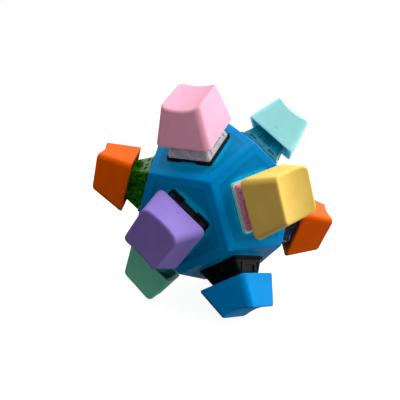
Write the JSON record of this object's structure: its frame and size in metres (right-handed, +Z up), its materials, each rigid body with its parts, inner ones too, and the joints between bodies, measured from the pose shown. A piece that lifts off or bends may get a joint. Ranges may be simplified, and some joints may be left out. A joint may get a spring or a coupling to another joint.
{
  "type": "keyboard switch fidget ball",
  "caption": "Hollow dodecahedral shell carrying spring-loaded keyboard switches with sculpted keycaps to press, a handheld and desktop fidget toy.",
  "frame": {"origin": "on the table, straight below the centre of the shell, with the toy standing on its three lowest keycaps", "axes": "+Z up; -Y towards the side that the tall front crown keycap leans over"},
  "size_m": [0.0783, 0.0825, 0.0745],
  "materials": {
    "shell_blue": "translucent moulded",
    "cap_pink": "fine matte",
    "cap_aqua": "fine matte",
    "cap_yellow": "fine matte",
    "cap_orange": "fine matte",
    "cap_lavender": "fine matte",
    "cap_blue": "fine matte",
    "cap_green": "fine matte",
    "housing_clear": "clear",
    "housing_teal": "translucent",
    "housing_black": "moulded",
    "housing_pink": "moulded",
    "housing_green": "translucent",
    "housing_mint": "moulded",
    "housing_violet": "translucent",
    "stem_white": "moulded",
    "stem_teal": "moulded",
    "stem_blue": "moulded",
    "stem_pink": "moulded",
    "stem_red": "moulded",
    "stem_green": "moulded",
    "spring_steel": "drawn wire",
    "contact_copper": "stamped"
  },
  "bodies": {
    "core": {"shell": "shell_blue", "black_switch_bases": "housing_black", "fixed_contacts": "contact_copper", "contact_leaves": "contact_copper", "spring_crown_front": "spring_steel", "switch_top_crown_front": "housing_clear", "spring_crown_right": "spring_steel", "switch_top_crown_right": "housing_teal", "switch_base_crown_right": "housing_teal", "spring_crown_left": "spring_steel", "switch_top_crown_left": "housing_black", "spring_upper_right": "spring_steel", "switch_top_upper_right": "housing_pink", "switch_base_upper_right": "housing_mint", "spring_upper_back": "spring_steel", "switch_top_upper_back": "housing_clear", "switch_base_upper_back": "housing_violet", "spring_upper_left": "spring_steel", "switch_top_upper_left": "housing_green", "switch_base_upper_left": "housing_green", "spring_lower_front": "spring_steel", "switch_top_lower_front": "housing_black", "spring_lower_right": "spring_steel", "switch_top_lower_right": "housing_clear", "switch_base_lower_right": "housing_violet", "spring_lower_left": "spring_steel", "switch_top_lower_left": "housing_pink", "switch_base_lower_left": "housing_mint", "spring_foot_right": "spring_steel", "switch_top_foot_right": "housing_black", "spring_foot_back": "spring_steel", "switch_top_foot_back": "housing_clear", "switch_base_foot_back": "housing_teal", "spring_foot_left": "spring_steel", "switch_top_foot_left": "housing_teal", "switch_base_foot_left": "housing_teal"},
    "key_crown_front": {"keycap_crown_front": "cap_pink", "stem_crown_front": "stem_white"},
    "key_crown_right": {"keycap_crown_right": "cap_aqua", "stem_crown_right": "stem_teal"},
    "key_crown_left": {"keycap_crown_left": "cap_yellow", "stem_crown_left": "stem_blue"},
    "key_upper_right": {"keycap_upper_right": "cap_yellow", "stem_upper_right": "stem_pink"},
    "key_upper_back": {"keycap_upper_back": "cap_lavender", "stem_upper_back": "stem_red"},
    "key_upper_left": {"keycap_upper_left": "cap_orange", "stem_upper_left": "stem_green"},
    "key_lower_front": {"keycap_lower_front": "cap_lavender", "stem_lower_front": "stem_red"},
    "key_lower_right": {"keycap_lower_right": "cap_orange", "stem_lower_right": "stem_red"},
    "key_lower_left": {"keycap_lower_left": "cap_blue", "stem_lower_left": "stem_pink"},
    "key_foot_right": {"keycap_foot_right": "cap_blue", "stem_foot_right": "stem_blue"},
    "key_foot_back": {"keycap_foot_back": "cap_pink", "stem_foot_back": "stem_white"},
    "key_foot_left": {"keycap_foot_left": "cap_green", "stem_foot_left": "stem_teal"}
  },
  "joints": [
    {"name": "press_crown_front", "type": "slide", "parent": "core", "child": "key_crown_front", "axis": [-0.0143, 0.5233, -0.852], "range_m": [0, 0.0038], "stiffness_N_per_m": 70, "springref_m": -0.005, "deforming": ["spring_crown_front"]},
    {"name": "press_crown_right", "type": "slide", "parent": "core", "child": "key_crown_right", "axis": [-0.5391, -0.3821, -0.7505], "range_m": [0, 0.0038], "stiffness_N_per_m": 70, "springref_m": -0.005, "deforming": ["spring_crown_right"]},
    {"name": "press_crown_left", "type": "slide", "parent": "core", "child": "key_crown_left", "axis": [0.5122, -0.383, -0.7688], "range_m": [0, 0.0038], "stiffness_N_per_m": 70, "springref_m": -0.005, "deforming": ["spring_crown_left"]},
    {"name": "press_upper_right", "type": "slide", "parent": "core", "child": "key_upper_right", "axis": [-0.8542, 0.4703, -0.2217], "range_m": [0, 0.0038], "stiffness_N_per_m": 70, "springref_m": -0.005, "deforming": ["spring_upper_right"]},
    {"name": "press_upper_back", "type": "slide", "parent": "core", "child": "key_upper_back", "axis": [-0.0024, -0.9962, -0.087], "range_m": [0, 0.0038], "stiffness_N_per_m": 70, "springref_m": -0.005, "deforming": ["spring_upper_back"]},
    {"name": "press_upper_left", "type": "slide", "parent": "core", "child": "key_upper_left", "axis": [0.8468, 0.4688, -0.2511], "range_m": [0, 0.0038], "stiffness_N_per_m": 70, "springref_m": -0.005, "deforming": ["spring_upper_left"]},
    {"name": "press_lower_front", "type": "slide", "parent": "core", "child": "key_lower_front", "axis": [0.0024, 0.9962, 0.087], "range_m": [0, 0.0038], "stiffness_N_per_m": 70, "springref_m": -0.005, "deforming": ["spring_lower_front"]},
    {"name": "press_lower_right", "type": "slide", "parent": "core", "child": "key_lower_right", "axis": [-0.8468, -0.4688, 0.2511], "range_m": [0, 0.0038], "stiffness_N_per_m": 70, "springref_m": -0.005, "deforming": ["spring_lower_right"]},
    {"name": "press_lower_left", "type": "slide", "parent": "core", "child": "key_lower_left", "axis": [0.8542, -0.4703, 0.2217], "range_m": [0, 0.0038], "stiffness_N_per_m": 70, "springref_m": -0.005, "deforming": ["spring_lower_left"]},
    {"name": "press_foot_right", "type": "slide", "parent": "core", "child": "key_foot_right", "axis": [-0.5122, 0.383, 0.7688], "range_m": [0, 0.0038], "stiffness_N_per_m": 70, "springref_m": -0.005, "deforming": ["spring_foot_right"]},
    {"name": "press_foot_back", "type": "slide", "parent": "core", "child": "key_foot_back", "axis": [0.0143, -0.5233, 0.852], "range_m": [0, 0.0038], "stiffness_N_per_m": 70, "springref_m": -0.005, "deforming": ["spring_foot_back"]},
    {"name": "press_foot_left", "type": "slide", "parent": "core", "child": "key_foot_left", "axis": [0.5391, 0.3821, 0.7505], "range_m": [0, 0.0038], "stiffness_N_per_m": 70, "springref_m": -0.005, "deforming": ["spring_foot_left"]}
  ]
}
